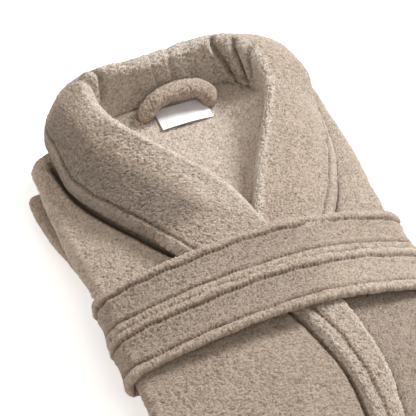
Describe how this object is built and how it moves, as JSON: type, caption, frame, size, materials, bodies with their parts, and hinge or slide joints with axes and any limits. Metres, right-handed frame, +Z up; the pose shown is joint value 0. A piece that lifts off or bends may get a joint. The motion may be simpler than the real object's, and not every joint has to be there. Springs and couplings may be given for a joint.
{
  "type": "folded bathrobe",
  "caption": "Plush shawl-collar bathrobe folded flat for a guest bed, with a doubled belt laid over the waist, a hanger loop, a neck label, folded skirt and folded sleeves.",
  "frame": {"origin": "on the resting plane, at the middle of the folded hem length that carries the robe", "axes": "+Z up, +Y towards the collar, +X to the right of someone who looks at the robe's front"},
  "size_m": [0.362, 0.565, 0.143],
  "materials": {
    "plush": "short-pile polyester plush, taupe beige, matt with a soft sheen",
    "plush_trim": "the same plush, doubled, turned and topstitched in matching thread",
    "label_satin": "plain white woven satin"
  },
  "bodies": {
    "upper_robe": {"back_panel": "plush", "front_panel_left": "plush", "front_panel_right": "plush", "front_band_left": "plush_trim", "front_band_right": "plush_trim", "collar_back": "plush_trim", "belt_loop_left": "plush_trim", "belt_loop_right": "plush_trim"},
    "lapel_left_body": {"lapel_left": "plush_trim"},
    "lapel_right_body": {"lapel_right": "plush_trim"},
    "loop_body": {"hanger_loop": "plush_trim"},
    "label_body": {"neck_label": "label_satin"},
    "belt_body": {"belt": "plush_trim"},
    "skirt_body": {"skirt_panel": "plush", "pocket_left": "plush_trim", "pocket_right": "plush_trim"},
    "hem_body": {"hem_panel": "plush"},
    "sleeve_left_body": {"sleeve_left": "plush"},
    "forearm_left_body": {"forearm_left": "plush", "cuff_left": "plush_trim"},
    "sleeve_right_body": {"sleeve_right": "plush"},
    "forearm_right_body": {"forearm_right": "plush", "cuff_right": "plush_trim"}
  },
  "joints": [
    {"name": "belt_slide", "type": "slide", "parent": "upper_robe", "child": "belt_body", "axis": [0, -1, 0], "range_m": [0, 0.3]},
    {"name": "lapel_left_turn", "type": "hinge", "parent": "upper_robe", "child": "lapel_left_body", "pos_m": [-0.0203, 0.1374, 0.1268], "axis": [-0.5356, 0.8293, 0.1592], "range_deg": [0, 70]},
    {"name": "lapel_right_turn", "type": "hinge", "parent": "upper_robe", "child": "lapel_right_body", "pos_m": [0.0523, 0.1415, 0.1256], "axis": [-0.456, -0.8784, -0.1431], "range_deg": [0, 70]},
    {"name": "hanger_loop_flip", "type": "hinge", "parent": "upper_robe", "child": "loop_body", "pos_m": [0.0015, 0.26, 0.0927], "axis": [1, 0, 0], "range_deg": [0, 45]},
    {"name": "neck_label_flip", "type": "hinge", "parent": "upper_robe", "child": "label_body", "pos_m": [0.0055, 0.249, 0.081], "axis": [-1, 0, 0], "range_deg": [0, 70]},
    {"name": "skirt_unfold", "type": "hinge", "parent": "upper_robe", "child": "skirt_body", "pos_m": [0, -0.24, 0.0372], "axis": [-1, 0, 0], "range_deg": [0, 180]},
    {"name": "hem_unfold", "type": "hinge", "parent": "skirt_body", "child": "hem_body", "pos_m": [0, 0.036, 0.0175], "axis": [1, 0, 0], "range_deg": [0, 180]},
    {"name": "sleeve_left_unfold", "type": "hinge", "parent": "upper_robe", "child": "sleeve_left_body", "pos_m": [-0.189, 0.156, 0.0372], "axis": [0, 1, 0], "range_deg": [0, 180]},
    {"name": "forearm_left_unfold", "type": "hinge", "parent": "sleeve_left_body", "child": "forearm_left_body", "pos_m": [-0.004, 0.156, 0.0175], "axis": [0, -1, 0], "range_deg": [0, 180]},
    {"name": "sleeve_right_unfold", "type": "hinge", "parent": "upper_robe", "child": "sleeve_right_body", "pos_m": [0.189, 0.156, 0.0372], "axis": [0, -1, 0], "range_deg": [0, 180]},
    {"name": "forearm_right_unfold", "type": "hinge", "parent": "sleeve_right_body", "child": "forearm_right_body", "pos_m": [0.004, 0.156, 0.0175], "axis": [0, 1, 0], "range_deg": [0, 180]}
  ],
  "couplings": [
    {"joint": "hem_unfold", "follows": "skirt_unfold", "ratio": 1},
    {"joint": "forearm_left_unfold", "follows": "sleeve_left_unfold", "ratio": 1},
    {"joint": "forearm_right_unfold", "follows": "sleeve_right_unfold", "ratio": 1}
  ]
}
